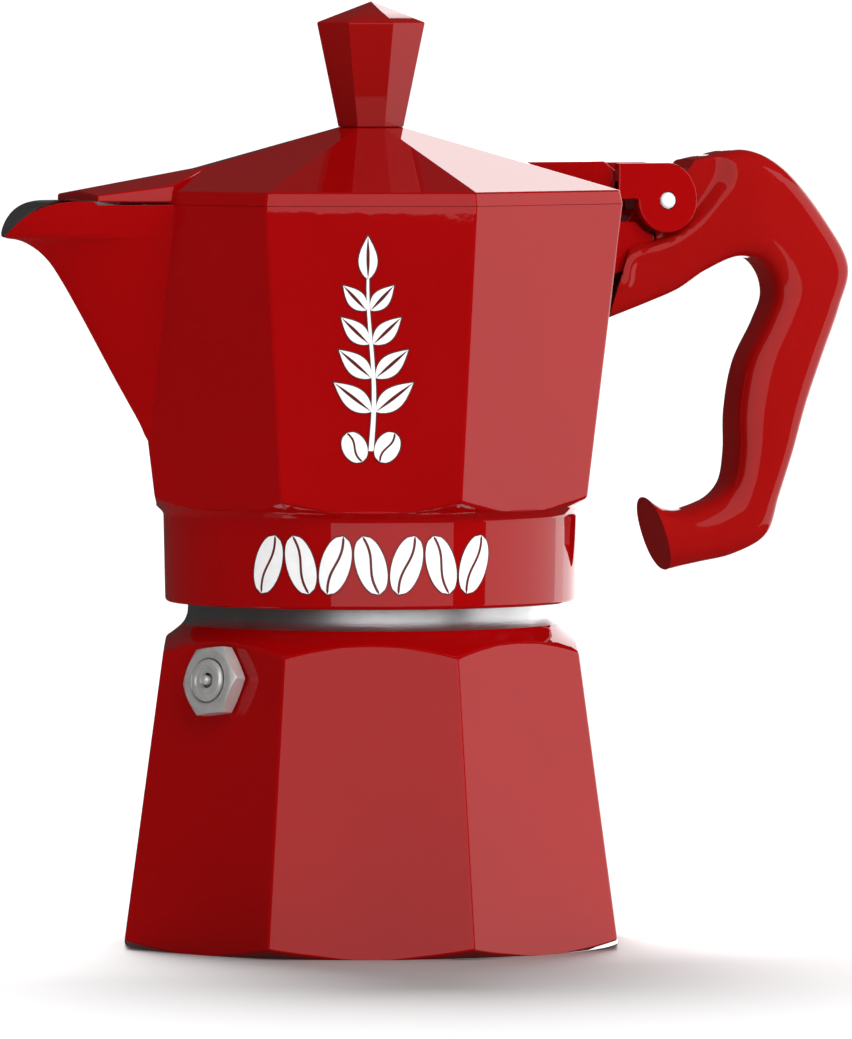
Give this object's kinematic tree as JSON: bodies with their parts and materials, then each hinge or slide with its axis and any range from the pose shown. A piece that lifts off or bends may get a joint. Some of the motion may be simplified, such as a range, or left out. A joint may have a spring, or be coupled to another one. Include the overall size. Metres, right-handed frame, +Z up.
{
  "type": "moka pot",
  "caption": "Octagonal stovetop coffee maker: boiler with safety valve, screw-on collecting chamber with spout, hinged lid with knob and a hooked handle.",
  "frame": {"origin": "centre of the boiler's base, on the surface the pot stands on", "axes": "+X towards the handle, -X towards the spout, +Z up; corners of every octagon lie on the X and Y axes"},
  "size_m": [0.1526, 0.0908, 0.1581],
  "materials": {
    "red_enamel": "high-gloss red lacquer on cast aluminium",
    "red_plastic": "glossy moulded red plastic",
    "polished_steel": "polished",
    "bare_aluminium": "satin",
    "brass": "machined",
    "silicone": "matt"
  },
  "bodies": {
    "boiler_body": {"boiler": "red_enamel", "valve_body": "polished_steel", "valve_cap": "polished_steel", "valve_spring": "polished_steel", "funnel": "bare_aluminium", "funnel_filter": "bare_aluminium"},
    "valve_plunger": {"valve_stem": "polished_steel", "valve_seal": "silicone"},
    "seal_ring": {"gasket": "silicone"},
    "chamber_body": {"upper_chamber": "red_enamel", "filter_plate": "bare_aluminium", "handle": "red_plastic", "hinge_pin": "polished_steel"},
    "lid_body": {"lid": "red_enamel", "knob": "red_plastic", "knob_insert": "brass", "knob_washer": "polished_steel", "knob_screw": "polished_steel"}
  },
  "joints": [
    {"name": "thread_rise", "type": "slide", "parent": "boiler_body", "child": "seal_ring", "axis": [0, 0, 1], "range_m": [0, 0.012]},
    {"name": "unscrew", "type": "hinge", "parent": "seal_ring", "child": "chamber_body", "pos_m": [0, 0, 0], "axis": [0, 0, 1], "range_deg": [0, 1440]},
    {"name": "lid_hinge", "type": "hinge", "parent": "chamber_body", "child": "lid_body", "pos_m": [0.0517, 0, 0.12445], "axis": [0, 1, 0], "range_deg": [0, 100]},
    {"name": "valve_relief", "type": "slide", "parent": "boiler_body", "child": "valve_plunger", "axis": [-0.9156, -0.3793, 0.1332], "range_m": [0, 0.0015], "stiffness_N_per_m": 2500, "springref_m": -0.0008, "deforming": ["valve_spring"]}
  ],
  "couplings": [
    {"joint": "thread_rise", "follows": "unscrew", "m_per_rad": 0.00047746}
  ]
}
